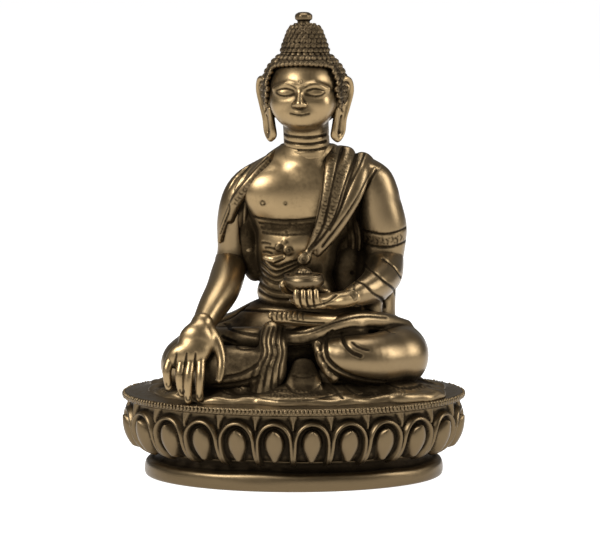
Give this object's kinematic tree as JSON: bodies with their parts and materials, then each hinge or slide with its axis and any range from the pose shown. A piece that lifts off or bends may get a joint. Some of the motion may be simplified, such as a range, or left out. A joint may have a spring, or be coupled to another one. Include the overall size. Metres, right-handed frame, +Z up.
{
  "type": "buddha statue",
  "caption": "Seated Buddha cast in antiqued brass, one hand touching the ground and one holding a bowl, on an oval lotus pedestal with a beaded rim and a stepped foot.",
  "frame": {"origin": "under the middle of the foot plinth, on the surface it stands on", "axes": "+Z up, the figure faces -Y, +X to its left hand"},
  "size_m": [0.104, 0.07, 0.14],
  "materials": {
    "antique_brass_base": "antiqued cast brass, dark in the hollows, satin",
    "polished_brass_skin": "satin-polished brass on the bare skin",
    "antique_brass_robe": "antiqued brass robe with engraved folds and borders",
    "dark_brass_hair": "darkened brass curls with worn tops",
    "copper_plate": "dull copper sheet",
    "steel_fastener": "plain zinc-plated steel"
  },
  "bodies": {
    "root": {"foot_plinth": "antique_brass_base", "bottom_cover_plate": "copper_plate", "lotus_pedestal": "antique_brass_base", "seat_deck": "antique_brass_base", "fixing_bolt": "steel_fastener", "bolt_washer": "steel_fastener", "lap_and_legs": "antique_brass_robe", "upturned_foot": "polished_brass_skin", "robe_hem": "antique_brass_robe", "torso": "polished_brass_skin", "shoulder_sash": "antique_brass_robe", "right_shoulder_robe": "antique_brass_robe", "right_upper_arm": "antique_brass_robe", "right_forearm": "polished_brass_skin", "right_hand": "polished_brass_skin", "left_upper_arm": "antique_brass_robe", "left_forearm": "antique_brass_robe", "left_hand": "polished_brass_skin", "alms_bowl": "antique_brass_base", "bowl_offering": "antique_brass_base", "head": "polished_brass_skin", "hair_cap": "dark_brass_hair", "ushnisha": "dark_brass_hair", "finial_jewel": "antique_brass_base", "right_ear": "polished_brass_skin", "left_ear": "polished_brass_skin", "neck_dowel": "antique_brass_base", "crown_dowel": "antique_brass_base", "right_shoulder_dowel": "antique_brass_base", "left_shoulder_dowel": "antique_brass_base"}
  },
  "joints": []
}
